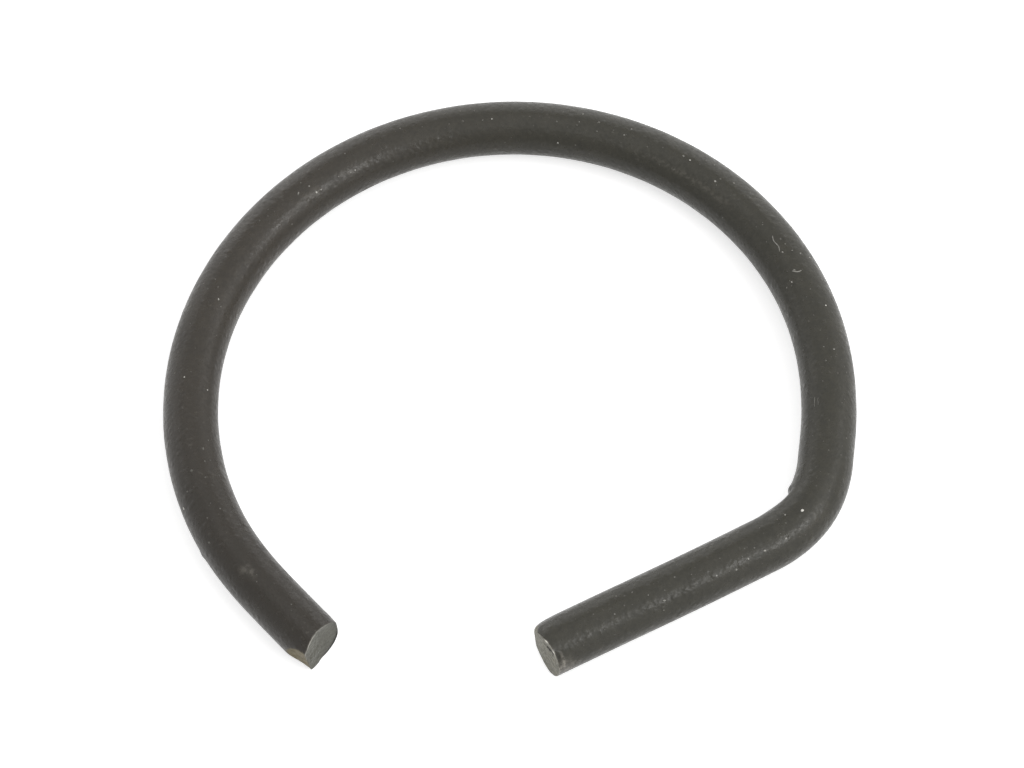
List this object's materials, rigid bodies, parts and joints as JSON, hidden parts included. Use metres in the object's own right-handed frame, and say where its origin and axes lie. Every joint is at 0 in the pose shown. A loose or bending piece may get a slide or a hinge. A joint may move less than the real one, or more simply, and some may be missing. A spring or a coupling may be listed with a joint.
{
  "type": "spring retainer clip",
  "caption": "Open ring of round spring wire that grips a shaft, with a short straight tail at one end and a straight leg bent in across its mouth at the other.",
  "frame": {"origin": "middle of the ring, on the surface that the clip lies on", "axes": "+Z along the ring's axis, square to the plane of the wire; -Y out through the ring's mouth; +X towards the side with the tight bend"},
  "size_m": [0.0252, 0.0237, 0.002],
  "materials": {
    "coated_spring_steel": "matte"
  },
  "bodies": {
    "root": {"retainer_clip": "coated_spring_steel"}
  },
  "joints": []
}
